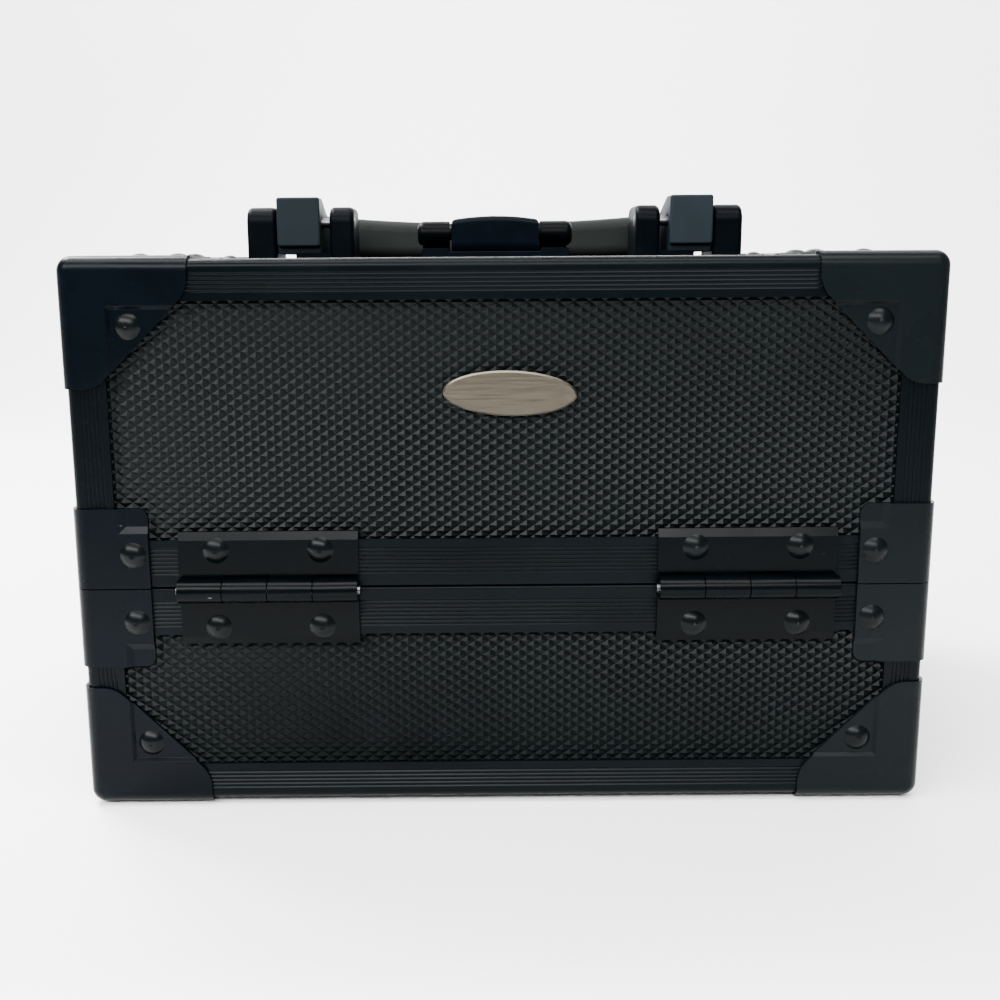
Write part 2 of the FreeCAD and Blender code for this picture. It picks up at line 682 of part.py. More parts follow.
def rivets():
    """Rivets for the base, and for one half lid. The ones under the case carry its weight."""
    metal = D["plate_thick"]
    sunk = metal - STEP_DROP
    inset = D["cap_rivet"]
    left, front = -SIDE + inset, -FRONT + inset
    side_in, rise = D["bracket_rivet_side"], D["bracket_rivet_rise"]

    def ring(tag, height):
        """The front and side rivets of a corner cap."""
        return [
            rivet(f"{tag}_face", left, -FRONT - sunk, height, AHEAD),
            rivet(f"{tag}_side", -SIDE - sunk, front, height, LEFT),
        ]

    def pair(tag, height):
        """The two rivets of a rim bracket."""
        return [
            rivet(f"{tag}_face", -SIDE + side_in, -FRONT - metal, height, AHEAD),
            rivet(f"{tag}_side", -SIDE - metal, -FRONT + side_in, height, LEFT),
        ]

    def leaf(tag, height):
        """The two rivets of a hinge leaf."""
        across, middle = D["hinge_rivet_side"], D["hinge_centre"]
        out = -FRONT - D["leaf_thick"]
        return [
            rivet(f"{tag}_outer", -(middle + across), out, height, AHEAD),
            rivet(f"{tag}_inner", -(middle - across), out, height, AHEAD),
        ]

    low = [*ring("low_cap", FLOOR + inset), *pair("low_bracket", BASE_RIM - rise)]
    low_leaves = leaf("low_leaf", JOINT - D["hinge_rivet_rise"])
    low_copies = [copy for one in low for copy in corners(one)]
    low_copies.append(hinged("low_leaf_rivets", *(copy for one in low_leaves for copy in corners(one))))
    keep("base_rivets", group("rivets_low", *low_copies))
    dome = rivet("foot_dome", left, front, FLOOR - sunk, DOWN, D["rivet_rise"] + D["foot_flat"])
    ground = box("foot_ground", (left - 10, left + 10), (front - 10, front + 10), (-10, ZERO))
    keep("foot_rivets", group("rivets_foot", *corners(cut("foot_rivet", dome, ground))))

    in_y = -SPLIT - D["split_rivet_rise"]
    split = [
        rivet("split_top", -SIDE + side_in, in_y, TOP + metal, UP, D["split_rivet"]),
        rivet("split_side", -SIDE - metal, in_y, TOP - side_in, LEFT, D["split_rivet"]),
    ]
    high = [
        *ring("high_cap", TOP - inset),
        rivet("high_cap_flat", left, front, TOP + sunk, UP),
        *pair("high_bracket", LID_RIM + rise),
        *split,
    ]
    high_leaves = leaf("high_leaf", JOINT + D["hinge_rivet_rise"])
    high_copies = [copy for one in high for copy in sides(one)]
    high_copies.append(hinged("high_leaf_rivets", *(copy for one in high_leaves for copy in sides(one))))
    return {"rivets": group("rivets_high", *high_copies)}


# ---------------------------------------------------------------- hinges


def hinged(name, *items):
    """Hinge pieces, moved together from their even places to where the hinges are."""
    return link(name, group(f"{name}_even", *items), D["hinge_shift"], ZERO, ZERO)


def hinge_leaf(name, up, own):
    """A leaf of the left front hinge. own lists the knuckles that belong to it, counted from the left."""
    width = D["hinge_width"]
    left = -(D["hinge_centre"] + width / 2)
    step = width / KNUCKLES
    face = -FRONT - D["leaf_thick"]
    corner, away = (left + width, UP) if up else (left, DOWN)
    section = leaf_outline(f"{name}_outline")
    plate = extrude(f"{name}_plate", section, width, (corner, face, JOINT), away, BACK)
    axis_y = -FRONT - HINGE_OUT
    reach = D["leaf_start"]
    knuckles, slots = [], []
    for number in range(KNUCKLES):
        start = left + number * step
        if number in own:
            place_at = (start + D["knuckle_gap"] / 2, axis_y, JOINT)
            length = step - D["knuckle_gap"]
            knuckles.append(rod(f"{name}_knuckle{number}", D["barrel_radius"], place_at, RIGHT, length))
        else:
            x = (start - D["knuckle_gap"] / 2, start + step + D["knuckle_gap"] / 2)
            z = (JOINT - reach, JOINT + reach)
            slots.append(box(f"{name}_slot{number}", x, (face - 1, -FRONT + 1), z))
    bore = D["hinge_pin_radius"] + D["running_gap"]
    hole = rod(f"{name}_bore", bore, (left - 1, axis_y, JOINT), RIGHT, width + 2)
    return cut(name, fuse(f"{name}_solid", cut(f"{name}_slotted", plate, *slots), *knuckles), hole)


def leaf_outline(name):
    """A leaf's section, from its axis to its far edge, where it slopes down to the panel."""
    thick, bend, end = D["leaf_thick"], D["leaf_bend"], D["leaf_end"]
    points = [
        (ZERO, ZERO),
        (bend, ZERO),
        (end, STEP_DROP),
        (end, thick + STEP_DROP),
        (bend, thick),
        (ZERO, thick),
    ]
    return outline(name, points)


def hinges():
    """Two hinges a side: lower leaves and pins on the base, upper leaves on the lids."""
    lower = hinge_leaf("hinge_lower", False, (1, 3))
    upper = hinge_leaf("hinge_upper", True, (0, 2))
    keep("hinge_lower_leaves", hinged("lower_leaves", *corners(lower)))
    left = -(D["hinge_centre"] + D["hinge_width"] / 2)
    over = sized(0.6)
    start = (left - over, -FRONT - HINGE_OUT, JOINT)
    pin = rod("hinge_pin", D["hinge_pin_radius"], start, RIGHT, D["hinge_width"] + 2 * over)
    keep("hinge_pins", hinged("pins", *corners(pin)))
    return {"hinge_leaves": hinged("upper_leaves", *sides(upper))}


# ---------------------------------------------------------------- trays and their arms


def tray_points():
    """Pivot points of the front trays and arms, as y and z."""
    axis_y = -FRONT - HINGE_OUT
    link_y, link_z = axis_y + D["link_y"], JOINT - D["link_z"]
    points = {"arm_base": (link_y, link_z)}
    for tray, share in (("low", 0.5), ("top", 1.0)):
        y, z = share * D["swing_y"], share * D["swing_z"]
        points[f"{tray}_arm"] = (link_y + y, link_z + z)
        points[f"{tray}_lid"] = (axis_y + y, JOINT + z)
    return points


PIVOTS = tray_points()


def tray(tray_name, level, height):
    """An open tray with two dividers, and four studs: two for the arms and two for the lid's hangers."""
    half, wall = D["tray_half"], D["tray_wall"]
    low, high = JOINT + level, JOINT + level + height
    y = (-D["tray_far"], -D["tray_near"])
    name = f"{tray_name}_tray"
    outer = box(f"{name}_outer", (-half, half), y, (low, high))
    middle = (low + high) / 2
    uprights = [(x, one, middle) for x in (-half, half) for one in y]
    outer = rounded(f"{name}_outer_round", outer, D["tray_corner"], *uprights)
    bays = []
    bay = (2 * half - wall * (TRAY_BAYS + 1)) / TRAY_BAYS
    for number in range(TRAY_BAYS):
        start = -half + wall + number * (bay + wall)
        hollow = box(
            f"{name}_bay{number}", (start, start + bay), (y[0] + wall, y[1] - wall), (low + wall, high + 1)
        )
        bays.append(hollow)
    shell = cut(f"{name}_shell", outer, *bays)
    studs = []
    arm_y, arm_z = PIVOTS[f"{tray_name}_arm"]
    out = D["arm_plane"] + D["arm_thick"]
    studs.append(rod(f"{name}_arm_stud", D["stud_radius"], (-half, arm_y, arm_z), LEFT, out - half + 0.1))
    studs.append(rod(f"{name}_arm_head", D["stud_head"], (-out - 0.1, arm_y, arm_z), LEFT, D["stud_cap"]))
    lid_y, lid_z = PIVOTS[f"{tray_name}_lid"]
    reach = SIDE - INSIDE - half - 0.1
    studs.append(rod(f"{name}_lid_stud", D["stud_radius"], (-half, lid_y, lid_z), LEFT, reach))
    pads = [
        rod(f"{name}_arm_pad", D["stud_head"], (-half, arm_y, arm_z), LEFT, sized(0.8)),
        rod(f"{name}_lid_pad", D["stud_head"], (-half, lid_y, lid_z), LEFT, sized(0.8)),
    ]
    studs = [copy for one in studs + pads for copy in sides(one)]
    return fuse(name, shell, *studs)


def tray_arm():
    """A flat link with rounded ends: a base pivot, and a bore for each tray's stud."""
    run_y, run_z = D["swing_y"], D["swing_z"]
    y, z = PIVOTS["arm_base"]
    plane, thick, half = D["arm_plane"], D["arm_thick"], D["arm_half"]
    bar = doc.addObject("Part::Box", "arm_bar")
    bind(bar, Length=thick, Width=half * 2)
    bar.setExpression("Height", f"sqrt({run_y.text} ^ 2 + {run_z.text} ^ 2)")
    lean = -math.degrees(math.atan2(run_y.value, run_z.value))
    turn = Rotation(Vector(1, 0, 0), lean)
    side = turn.multVec(Vector(0, half.value, 0))
    place(bar, -(plane + thick), y - side.y, z - side.z, turn)
    ends = [
        rod("arm_end_base", half, (-(plane + thick), y, z), RIGHT, thick),
        rod("arm_end_top", half, (-(plane + thick), y + run_y, z + run_z), RIGHT, thick),
    ]
    solid = fuse("arm_solid", bar, *ends)
    radius = D["stud_radius"] + D["running_gap"]
    bores = []
    for number, share in enumerate((0, 0.5, 1)):
        start = (-(plane + thick + 1), y + share * run_y, z + share * run_z)
        bores.append(rod(f"arm_bore{number}", radius, start, RIGHT, thick + 2))
    return cut("tray_arm", solid, *bores)


def arm_pivot():
    """A shouldered stud on the base's side wall that carries an arm."""
    y, z = PIVOTS["arm_base"]
    wall = SIDE - INSIDE
    out = D["arm_plane"] + D["arm_thick"] + 0.1
    inner = D["arm_plane"] - 0.1
    flange = rod("pivot_flange", D["stud_head"], (-wall, y, z), RIGHT, wall - out)
    shaft = rod("pivot_shaft", D["stud_radius"], (-wall, y, z), RIGHT, wall - inner)
    head = rod("pivot_head", D["stud_head"], (-inner, y, z), RIGHT, D["stud_cap"])
    return fuse("arm_pivot", flange, shaft, head)


def hanger(tray_name):
    """A round plate on the lid's side wall with a loose bore for a tray's stud."""
    y, z = PIVOTS[f"{tray_name}_lid"]
    wall = SIDE - INSIDE
    disc = rod(f"{tray_name}_hanger_disc", D["hanger_radius"], (-wall, y, z), RIGHT, D["hanger_thick"])
    bore = D["stud_radius"] + D["hanger_gap"]
    hole = rod(f"{tray_name}_hanger_bore", bore, (-wall - 1, y, z), RIGHT, D["hanger_thick"] + 2)
    return cut(f"{tray_name}_hanger", disc, hole)


def trays():
    low = tray("low", D["low_tray_level"], D["low_tray_height"])
    top = tray("top", D["top_tray_level"], D["top_tray_height"])
    arms = group("tray_arms", *sides(tray_arm()))
    keep("front_lower_tray", low)
    keep("front_upper_tray", top)
    keep("front_tray_arms", arms)
    keep("rear_lower_tray", mirror(low, "y"))
    keep("rear_upper_tray", mirror(top, "y"))
    keep("rear_tray_arms", mirror(arms, "y"))
    keep("arm_pivots", group("pivots", *corners(arm_pivot())))
    hangers = [copy for name in ("low", "top") for copy in sides(hanger(name))]
    return {"tray_hangers": group("hangers", *hangers)}


# ---------------------------------------------------------------- badge, latch and handle


def badge():
    """An oval plate on the front lid's face, turned a little from level."""
    oval = doc.addObject("Part::Ellipse", "badge_oval")
    bind(oval, MajorRadius=D["badge_width"] / 2, MinorRadius=D["badge_height"] / 2)
    tilt = math.radians(BADGE_TILT)
    along = (math.cos(tilt), 0, -math.sin(tilt))
    across = (math.sin(tilt), 0, math.cos(tilt))
    middle = (2, -FRONT + D["rail_skin"], JOINT + D["badge_level"])
    plate = extrude("badge_plate", oval, D["badge_thick"], middle, along, across)
    doc.recompute()
    edges = [n + 1 for n, edge in enumerate(plate.Shape.Edges) if edge.CenterOfMass.y < -FRONT.value]
    bevel = doc.addObject("Part::Chamfer", "badge_bevel")
    bevel.Base = plate
    bevel.Edges = [(number, 0.6, 0.6) for number in edges]
    return keep("badge", bevel)


def latch():
    """A spring latch: base, barrel and lever on the front lid, and a catch for its nose on the rear lid."""
    axis = (-D["barrel_y"], TOP + D["barrel_rise"])
    pieces = {
        "latch_base": latch_base(*axis),
        "latch_barrel": latch_barrel(*axis),
        "latch_lever": lever(*axis),
        "latch_catch": catch(),
    }
    for name, item in pieces.items():
        keep(name, link(f"{name}_placed", item, -D["latch_shift"], ZERO, ZERO))


def latch_base(axis_y, axis_z):
    """Two pads with a post behind each barrel end, a bridge behind the lever and a lip in front of it."""
    half, lip = D["latch_half"], D["latch_lip"]
    front, rear = -D["latch_front"], -D["latch_rear"]
    inner = D["lever_half"] + D["lever_gap"]
    under = TOP - D["rail_skin"]
    back = (axis_y, axis_y + D["barrel_end"] + 1.5)
    pads = []
    for name, x in (("left", (-half, -inner)), ("right", (inner, half))):
        pads.append(box(f"latch_pad_{name}", x, (front, rear), (under, TOP + D["latch_pad"])))
        pads.append(box(f"latch_post_{name}", x, back, (under, axis_z + 1)))
    bridge = box("latch_bridge", (-half, half), (rear - 4, rear), (under, under + D["latch_web"]))
    bar = box("latch_lip", (-half, half), (front, front + lip), (under, TOP + D["latch_lip_rise"]))
    solid = fuse("latch_base_solid", bridge, bar, *pads)
    socket = rod("latch_socket", D["barrel_end"], (-half - 1, axis_y, axis_z), RIGHT, 2 * half + 2)
    return cut("latch_base_cut", solid, socket)


def latch_barrel(axis_y, axis_z):
    """A barrel with two thick ends and a thin shaft under the lever."""
    half, ends = D["barrel_half"], D["lever_half"] + D["lever_gap"]
    rounds = []
    for name, low, tip in (("left", -half, -half), ("right", ends, half)):
        end = rod(f"barrel_{name}", D["barrel_end"], (low, axis_y, axis_z), RIGHT, half - ends)
        rounds.append(rounded(f"barrel_{name}_round", end, D["barrel_tip"], (tip, axis_y, axis_z)))
    shaft = rod("barrel_shaft", D["barrel_shaft"], (-ends - 1, axis_y, axis_z), RIGHT, 2 * ends + 2)
    return fuse("barrel", shaft, *rounds)


def catch():
    """A low plate on the rear lid with a rounded upright that the lever's nose rests against."""
    half, near, plate = D["catch_half"], D["catch_y"], TOP + D["catch_plate"]
    far = near + D["catch_depth"]
    thick, high = D["catch_thick"], TOP + D["catch_rise"]
    on_panel = (SPLIT + D["rail_face"] + 0.1, far)
    solid = fuse(
        "catch_solid",
        box("catch_plate", (-half, half), (near, far), (TOP, plate)),
        box("catch_pad", (-half, half), on_panel, (TOP - D["rail_skin"], plate)),
        box("catch_upright", (-half, half), (near, near + thick), (TOP, high)),
    )
    tops = [(x, near + thick / 2, high) for x in (-half, half)]
    return rounded("catch", solid, D["catch_round"], *tops)


def lever(axis_y, axis_z):
    """A thick lever with a crowned top. Its nose slopes up behind the split, clear of the rear lid."""
    front, half = -D["lever_front"], D["lever_half"]
    low, high = D["lever_belly"], D["lever_crown"]
    belly, clear = D["lever_belly_run"], D["lever_clear"]
    length = D["lever_front"] + D["lever_nose"]
    points = [
        (ZERO, ZERO),
        (belly, ZERO),
        (belly + 2, clear),
        (D["lever_front"] - 0.8, clear),
        (length, D["lever_under"]),
        (length, high - low - D["lever_nose_drop"]),
        (D["lever_crown_run"], high - low),
        (ZERO, high - low),
    ]
    side = outline("lever_side", points)
    block = extrude("lever_block", side, 2 * half, (-half, front, TOP + low), BACK, UP)
    block = rounded("lever_heel", block, D["lever_heel"], (ZERO, front, TOP + low))
    arch = D["lever_arch"]
    radius = (half * half + arch * arch) / (2 * arch)
    vault = rod("lever_vault", radius, (ZERO, front - 1, TOP + high - radius), BACK, length + 2)
    block = common("lever_crown", block, vault)
    middle = TOP + high - arch
    across = front + D["lever_crown_run"] / 2
    edges = [(-half, across, middle), (half, across, middle), (ZERO, front, TOP + high)]
    block = rounded("lever_edges", block, D["lever_edge"], *edges)
    bore = D["barrel_shaft"] + D["running_gap"]
    hole = rod("lever_bore", bore, (-half - 1, axis_y, axis_z), RIGHT, 2 * half + 2)
    return cut("lever", block, hole)


def handle():
    """A folding carry handle: two brackets and pins on the rear lid, a moulded bow and a padded grip."""
    pin = (D["handle_pivot_y"], TOP + D["handle_pivot_rise"])
    outer, length = D["handle_post_outer"], D["handle_post_outer"] - D["handle_post_inner"]
    keep("handle_brackets", group("brackets", *sides(handle_bracket(*pin))))
    shaft = rod("handle_pin", D["handle_pin_radius"], (-outer, *pin), RIGHT, length)
    keep("handle_pins", group("handle_pins_pair", *sides(shaft)))
    keep("handle_bow", bow(*pin))
    keep("handle_grip", grip(*pin))


def post(name, x, pin_y, pin_z):
    """A deep upright with round shoulders and rounded rims."""
    radius = D["post_radius"]
    front, rear, top = pin_y - radius, pin_y + D["post_rear"], pin_z + radius
    block = box(f"{name}_block", x, (front, rear), (TOP - 1, top))
    across = (x[0] + x[1]) / 2
    arch = rounded(f"{name}_arch", block, radius - 0.1, (across, front, top), (across, rear, top))
    return rounded(name, arch, D["post_edge"], *((side, (front + rear) / 2, top) for side in x))


def handle_bracket(pin_y, pin_z):
    """A base plate with a post on each side of the handle's butt, and a bore for the pin."""
    outer, inner = -D["handle_post_outer"], -D["handle_post_inner"]
    far = -D["arm_outer"] - D["post_gap"]
    near = inner - D["post_inner_width"]
    level = TOP - D["rail_skin"]
    front, rear = D["bracket_front"], D["bracket_rear"]
    toe = (near - D["bracket_foot"], near + 1)
    toe_top = TOP + D["bracket_foot_rise"]
    solid = fuse(
        "bracket_solid",
        box("bracket_plate", (outer, inner), (front, rear), (level, level + D["bracket_base"])),
        box("bracket_foot", toe, (front, front + D["bracket_foot_run"]), (level, toe_top)),
        post("post_outer", (outer, far), pin_y, pin_z),
        post("post_inner", (near, inner), pin_y, pin_z),
    )
    length = D["handle_post_outer"] - D["handle_post_inner"] + 2
    bore = rod("bracket_bore", D["handle_pin_radius"], (outer - 1, pin_y, pin_z), RIGHT, length)
    return cut("handle_bracket", solid, bore)


def bow(pin_y, pin_z):
    """Two arms, each with a square butt round its pin, and the bar that joins them."""
    above, below = D["butt_above"], D["butt_below"]
    lift, drop = D["arm_above"], D["arm_below"]
    front, end = D["butt_front"], D["grip_far"]
    points = [
        (ZERO, drop - below),
        (D["butt_floor"], drop - below),
        (D["butt_floor"] + 1.5, ZERO),
        (front + end, ZERO),
        (front + end, drop + lift),
        (D["butt_slope"], drop + lift),
        (D["butt_roof"], drop + above),
        (ZERO, drop + above),
    ]
    side = outline("arm_side", points)
    outer, inner = -D["arm_outer"], -D["arm_inner"]
    arm = extrude("bow_arm", side, inner - outer, (outer, pin_y - front, pin_z - drop), BACK, UP)
    face, middle = pin_y - front, (outer + inner) / 2
    level = pin_z + (above - below) / 2
    edges = [(side, face, level) for side in (outer, inner)]
    edges += [(middle, face, pin_z + above), (middle, face, pin_z - below)]
    arm = rounded("bow_butt", arm, D["butt_edge"], *edges)
    bar = bar_box("bow_bar", pin_y, pin_z, D["arm_inner"] + 1)
    solid = fuse("bow_solid", bar, *sides(arm))
    radius = D["handle_pin_radius"] + D["running_gap"]
    bore = rod("bow_bore", radius, (outer - 1, pin_y, pin_z), RIGHT, 2 * D["arm_outer"] + 2)
    return cut("bow", solid, bore)


def bar_box(name, pin_y, pin_z, half):
    """The square bar inside the grip, and the hole it fills."""
    y = pin_y + (D["grip_near"] + D["grip_far"]) / 2
    z = pin_z + (D["arm_above"] - D["arm_below"]) / 2 - D["core_lower"]
    core = D["grip_core"]
    return box(name, (-half, half), (y - core, y + core), (z - core, z + core))


def grip(pin_y, pin_z):
    """The padded sleeve round the bar. Its top is hollowed along its length."""
    half, waist = D["arm_inner"] - 0.05, D["grip_waist"]
    near, far = pin_y + D["grip_near"], pin_y + D["grip_far"]
    low, high = pin_z - D["grip_below"], pin_z + D["arm_above"]
    block = box("grip_block", (-half, half), (near, far), (low, high))
    radius = (half * half + waist * waist) / (2 * waist)
    length = D["grip_far"] - D["grip_near"] + 2
    hollow = rod("grip_hollow", radius, (ZERO, near - 1, high - waist + radius), BACK, length)
    block = cut("grip_waisted", block, hollow)
    edges = [(0, near, low), (0, far, low), (0, near, high - waist), (0, far, high - waist)]
    block = rounded("grip_round", block, D["grip_round"], *edges)
    return cut("grip", block, bar_box("grip_hole", pin_y, pin_z, half + 1))


# ---------------------------------------------------------------- the whole case


def half_lids():
    """Keeps each piece of the front half lid, and its image on the rear one."""
    pieces = {}
    for maker in (lid_rails, lid_panels, hardware, rivets, hinges, trays):
        pieces.update(maker())
    for name, item in pieces.items():
        keep(f"front_lid_{name}", item)
        keep(f"rear_lid_{name}", mirror(item, "y", f"rear_{name}"))


def check_and_write():
    """Stops on any failed object or bad shape, then writes each sub-part."""
    doc.recompute()
    failed = [o.Name for o in doc.Objects if "Invalid" in o.State or "Error" in o.State]
    if failed:
        raise SystemExit(f"these objects failed: {failed}")
    bad = [node for node, item in nodes.items() if item.Shape.isNull() or not item.Shape.isValid()]
    if bad:
        raise SystemExit(f"these sub-parts have a bad shape: {bad}")
    os.makedirs(PARTS_FOLDER, exist_ok=True)
    for old in os.listdir(PARTS_FOLDER):
        if old.endswith(".step"):
            os.remove(os.path.join(PARTS_FOLDER, old))
    for node, item in nodes.items():
        item.Shape.exportStep(os.path.join(PARTS_FOLDER, f"{node}.step"))
        size = item.Shape.BoundBox
        lengths = f"{size.XLength:.1f} x {size.YLength:.1f} x {size.ZLength:.1f}"
        print(f"{node}: {len(item.Shape.Solids)} solids, {lengths}")
    print(len(nodes), "nodes")


base_rails()
base_panels()
half_lids()
badge()
latch()
handle()
check_and_write()
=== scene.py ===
"""Makeup train case: materials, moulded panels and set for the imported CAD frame. Lengths are metres."""

import json
import math

import bpy
from mathutils import Matrix, Vector


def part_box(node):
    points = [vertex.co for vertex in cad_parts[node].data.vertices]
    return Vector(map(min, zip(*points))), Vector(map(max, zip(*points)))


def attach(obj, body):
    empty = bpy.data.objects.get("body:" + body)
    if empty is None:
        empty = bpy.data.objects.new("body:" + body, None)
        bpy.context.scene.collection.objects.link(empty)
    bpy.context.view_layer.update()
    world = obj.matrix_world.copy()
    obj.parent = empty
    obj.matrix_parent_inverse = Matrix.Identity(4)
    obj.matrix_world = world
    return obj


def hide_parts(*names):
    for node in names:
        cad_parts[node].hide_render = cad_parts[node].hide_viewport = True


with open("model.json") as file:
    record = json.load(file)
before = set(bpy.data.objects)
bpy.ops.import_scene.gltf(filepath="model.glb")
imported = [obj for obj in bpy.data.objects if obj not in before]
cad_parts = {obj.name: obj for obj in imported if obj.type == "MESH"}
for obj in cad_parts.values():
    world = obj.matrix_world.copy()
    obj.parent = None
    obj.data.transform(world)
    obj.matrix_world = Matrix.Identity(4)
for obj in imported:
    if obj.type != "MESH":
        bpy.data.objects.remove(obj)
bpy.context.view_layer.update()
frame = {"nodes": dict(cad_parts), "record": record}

MM = 0.001
nodes = frame["nodes"]
slots = {part["node"]: part["material_slot"] for part in frame["record"]["subparts"]}


# ---------------------------------------------------------------- camera, light and floor

CAMERA_PLACE = (-0.01256, -0.5215, 0.1948)
CAMERA_YAW, CAMERA_PITCH, CAMERA_ROLL = 0.00223, 0.19429, -0.00715
SENSOR_WIDTH = 36
LENS = 43.77
SIDE_SHIFT = 0.0291
NEAR_LIMIT = 0.01

# The backdrop's half width, the ends of its floor, the radius and steps of its curve, and its height.
SWEEP_HALF = 30.0
SWEEP_FRONT, SWEEP_BACK = -30.0, 1.0
SWEEP_RADIUS, SWEEP_STEPS = 0.7, 16
SWEEP_HEIGHT = 2.2

# The world's brightness: the first value towards the front, the second level and to the rear.
WORLD_RANGE = {"From Min": -0.75, "From Max": 0.1, "To Min": 0.60, "To Max": 0.35}

# Each light's name, place, target, size and power.
LIGHTS = [
    ("key", (-0.38, -1.04, 0.90), (0, -0.1, 0.1), (1.95, 0.36), 59),
    ("overhead", (-0.1, -0.36, 1.2), (0, -0.1, 0.1), (1.4, 0.45), 37),
    ("left_rear", (-0.60, 0.45, 1.05), (0, 0.0, 0.1), (0.5, 0.5), 45),
    ("back_wall", (0, 0.7, 1.6), (0, 1.7, 0.5), (2.4, 0.4), 110),
]


def make_camera():
    """The photograph's viewpoint: level with the top, a little left of the middle, tilted down."""
    yaw, pitch, roll = CAMERA_YAW, CAMERA_PITCH, CAMERA_ROLL
    ahead = Vector((math.sin(yaw) * math.cos(pitch), math.cos(yaw) * math.cos(pitch), -math.sin(pitch)))
    right = Vector((math.cos(yaw), -math.sin(yaw), 0))
    up = right.cross(ahead)
    right, up = (
        right * math.cos(roll) + up * math.sin(roll),
        up * math.cos(roll) - right * math.sin(roll),
    )
    camera = bpy.data.objects.new("camera", bpy.data.cameras.new("camera"))
    bpy.context.scene.collection.objects.link(camera)
    place = Matrix((right, up, -ahead)).transposed().to_4x4()
    place.translation = Vector(CAMERA_PLACE)
    camera.matrix_world = place
    camera.data.sensor_width = SENSOR_WIDTH
    camera.data.lens = LENS
    camera.data.shift_x = SIDE_SHIFT
    camera.data.clip_start = NEAR_LIMIT
    bpy.context.scene.camera = camera


def make_light(name, place, target, size, power):
    """A soft rectangular area light, aimed at a point."""
    data = bpy.data.lights.new(name, "AREA")
    data.shape = "RECTANGLE"
    data.size, data.size_y = size
    data.energy = power
    light = bpy.data.objects.new(name, data)
    bpy.context.scene.collection.objects.link(light)
    place = Vector(place)
    light.location = place
    light.rotation_mode = "QUATERNION"
    light.rotation_quaternion = (Vector(target) - place).to_track_quat("-Z", "Y")


def make_sweep():
    """A pale seamless backdrop: floor, curve and wall."""
    line = [(SWEEP_FRONT, 0.0), (SWEEP_BACK, 0.0)]
    for step in range(1, SWEEP_STEPS + 1):
        angle = math.pi / 2 * step / SWEEP_STEPS
        line.append((SWEEP_BACK + SWEEP_RADIUS * math.sin(angle), SWEEP_RADIUS * (1 - math.cos(angle))))
    line.append((SWEEP_BACK + SWEEP_RADIUS, SWEEP_HEIGHT))
    points = [(x, y, z) for y, z in line for x in (-SWEEP_HALF, SWEEP_HALF)]
    faces = [(2 * n, 2 * n + 1, 2 * n + 3, 2 * n + 2) for n in range(len(line) - 1)]
    mesh = bpy.data.meshes.new("sweep")
    mesh.from_pydata(points, [], faces)
    mesh.polygons.foreach_set("use_smooth", [True] * len(faces))
    sweep = bpy.data.objects.new("sweep", mesh)
    bpy.context.scene.collection.objects.link(sweep)
    mesh.materials.append(paper())


def make_world():
    """A soft white surround, brighter towards the front than towards the rear."""
    world = bpy.data.worlds.new("studio")
    bpy.context.scene.world = world
    world.use_nodes = True
    graph = world.node_tree
    split = graph.nodes.new("ShaderNodeSeparateXYZ")
    graph.links.new(graph.nodes.new("ShaderNodeTexCoord").outputs["Generated"], split.inputs[0])
    away = graph.nodes.new("ShaderNodeMapRange")
    for name, value in WORLD_RANGE.items():
        away.inputs[name].default_value = value
    graph.links.new(split.outputs["Y"], away.inputs["Value"])
    graph.nodes["Background"].inputs["Color"].default_value = (1, 1, 1, 1)
    graph.links.new(away.outputs["Result"], graph.nodes["Background"].inputs["Strength"])


# ---------------------------------------------------------------- materials


